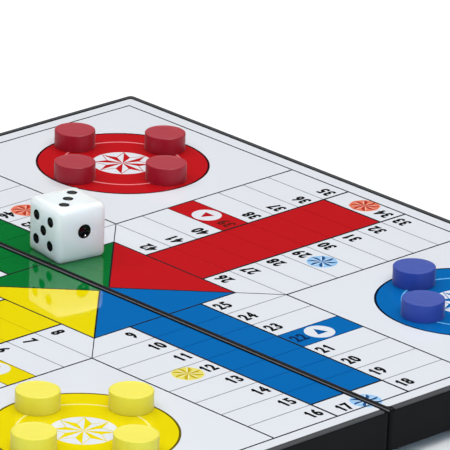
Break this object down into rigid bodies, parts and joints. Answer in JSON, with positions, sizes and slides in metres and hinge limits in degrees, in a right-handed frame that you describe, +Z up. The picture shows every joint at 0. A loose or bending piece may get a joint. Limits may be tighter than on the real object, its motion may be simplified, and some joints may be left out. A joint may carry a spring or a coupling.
{
  "type": "magnetic ludo game",
  "caption": "Folding ludo board with a steel-backed printed face, magnetic disc pawns and a die; it folds shut into a flat box that holds them.",
  "frame": {"origin": "on the table under the middle of the fold line, with the board lying open", "axes": "+X along the fold, towards the blue home column; +Y towards the far half, with the red and blue homes; +Z up"},
  "size_m": [0.222, 0.232, 0.0307],
  "materials": {
    "case_plastic": "black moulded plastic, satin rim",
    "plate_steel": "tinned sheet",
    "printed_plastic": "glossy laminate over a printed board",
    "pin_steel": "drawn wire",
    "pawn_red": "satin moulded plastic",
    "pawn_blue": "satin moulded plastic",
    "pawn_yellow": "satin moulded plastic",
    "pawn_green": "satin moulded plastic",
    "magnet_ferrite": "sintered ferrite disc",
    "die_plastic": "polished white with black pips"
  },
  "bodies": {
    "far_half": {"case_half_far": "case_plastic", "steel_plate_far": "plate_steel", "printed_sheet_far": "printed_plastic", "hinge_pin_left": "pin_steel", "hinge_pin_right": "pin_steel", "latch_pin": "pin_steel"},
    "near_half": {"case_half_near": "case_plastic", "steel_plate_near": "plate_steel", "printed_sheet_near": "printed_plastic"},
    "latch": {"latch": "case_plastic"},
    "die": {"die": "die_plastic"},
    "pawn_red_1": {"pawn_red_1": "pawn_red", "magnet_red_1": "magnet_ferrite"},
    "pawn_red_2": {"pawn_red_2": "pawn_red", "magnet_red_2": "magnet_ferrite"},
    "pawn_red_3": {"pawn_red_3": "pawn_red", "magnet_red_3": "magnet_ferrite"},
    "pawn_red_4": {"pawn_red_4": "pawn_red", "magnet_red_4": "magnet_ferrite"},
    "pawn_blue_1": {"pawn_blue_1": "pawn_blue", "magnet_blue_1": "magnet_ferrite"},
    "pawn_blue_2": {"pawn_blue_2": "pawn_blue", "magnet_blue_2": "magnet_ferrite"},
    "pawn_blue_3": {"pawn_blue_3": "pawn_blue", "magnet_blue_3": "magnet_ferrite"},
    "pawn_blue_4": {"pawn_blue_4": "pawn_blue", "magnet_blue_4": "magnet_ferrite"},
    "pawn_yellow_1": {"pawn_yellow_1": "pawn_yellow", "magnet_yellow_1": "magnet_ferrite"},
    "pawn_yellow_2": {"pawn_yellow_2": "pawn_yellow", "magnet_yellow_2": "magnet_ferrite"},
    "pawn_yellow_3": {"pawn_yellow_3": "pawn_yellow", "magnet_yellow_3": "magnet_ferrite"},
    "pawn_yellow_4": {"pawn_yellow_4": "pawn_yellow", "magnet_yellow_4": "magnet_ferrite"},
    "pawn_green_1": {"pawn_green_1": "pawn_green", "magnet_green_1": "magnet_ferrite"},
    "pawn_green_2": {"pawn_green_2": "pawn_green", "magnet_green_2": "magnet_ferrite"},
    "pawn_green_3": {"pawn_green_3": "pawn_green", "magnet_green_3": "magnet_ferrite"},
    "pawn_green_4": {"pawn_green_4": "pawn_green", "magnet_green_4": "magnet_ferrite"}
  },
  "joints": [
    {"name": "fold", "type": "hinge", "parent": "far_half", "child": "near_half", "pos_m": [0, 0, 0.003], "axis": [1, 0, 0], "range_deg": [0, 180]},
    {"name": "latch_swing", "type": "hinge", "parent": "far_half", "child": "latch", "pos_m": [0, 0.1146, 0.0054], "axis": [-1, 0, 0], "range_deg": [0, 180]},
    {"name": "lift_die", "type": "slide", "parent": "far_half", "child": "die", "axis": [0, 0, 1], "range_m": [0, 0.04]},
    {"name": "lift_pawn_red_1", "type": "slide", "parent": "far_half", "child": "pawn_red_1", "axis": [0, 0, 1], "range_m": [0, 0.04]},
    {"name": "lift_pawn_red_2", "type": "slide", "parent": "far_half", "child": "pawn_red_2", "axis": [0, 0, 1], "range_m": [0, 0.04]},
    {"name": "lift_pawn_red_3", "type": "slide", "parent": "far_half", "child": "pawn_red_3", "axis": [0, 0, 1], "range_m": [0, 0.04]},
    {"name": "lift_pawn_red_4", "type": "slide", "parent": "far_half", "child": "pawn_red_4", "axis": [0, 0, 1], "range_m": [0, 0.04]},
    {"name": "lift_pawn_blue_1", "type": "slide", "parent": "far_half", "child": "pawn_blue_1", "axis": [0, 0, 1], "range_m": [0, 0.04]},
    {"name": "lift_pawn_blue_2", "type": "slide", "parent": "far_half", "child": "pawn_blue_2", "axis": [0, 0, 1], "range_m": [0, 0.04]},
    {"name": "lift_pawn_blue_3", "type": "slide", "parent": "far_half", "child": "pawn_blue_3", "axis": [0, 0, 1], "range_m": [0, 0.04]},
    {"name": "lift_pawn_blue_4", "type": "slide", "parent": "far_half", "child": "pawn_blue_4", "axis": [0, 0, 1], "range_m": [0, 0.04]},
    {"name": "lift_pawn_yellow_1", "type": "slide", "parent": "near_half", "child": "pawn_yellow_1", "axis": [0, 0, 1], "range_m": [0, 0.04]},
    {"name": "lift_pawn_yellow_2", "type": "slide", "parent": "near_half", "child": "pawn_yellow_2", "axis": [0, 0, 1], "range_m": [0, 0.04]},
    {"name": "lift_pawn_yellow_3", "type": "slide", "parent": "near_half", "child": "pawn_yellow_3", "axis": [0, 0, 1], "range_m": [0, 0.04]},
    {"name": "lift_pawn_yellow_4", "type": "slide", "parent": "near_half", "child": "pawn_yellow_4", "axis": [0, 0, 1], "range_m": [0, 0.04]},
    {"name": "lift_pawn_green_1", "type": "slide", "parent": "near_half", "child": "pawn_green_1", "axis": [0, 0, 1], "range_m": [0, 0.04]},
    {"name": "lift_pawn_green_2", "type": "slide", "parent": "near_half", "child": "pawn_green_2", "axis": [0, 0, 1], "range_m": [0, 0.04]},
    {"name": "lift_pawn_green_3", "type": "slide", "parent": "near_half", "child": "pawn_green_3", "axis": [0, 0, 1], "range_m": [0, 0.04]},
    {"name": "lift_pawn_green_4", "type": "slide", "parent": "near_half", "child": "pawn_green_4", "axis": [0, 0, 1], "range_m": [0, 0.04]}
  ]
}
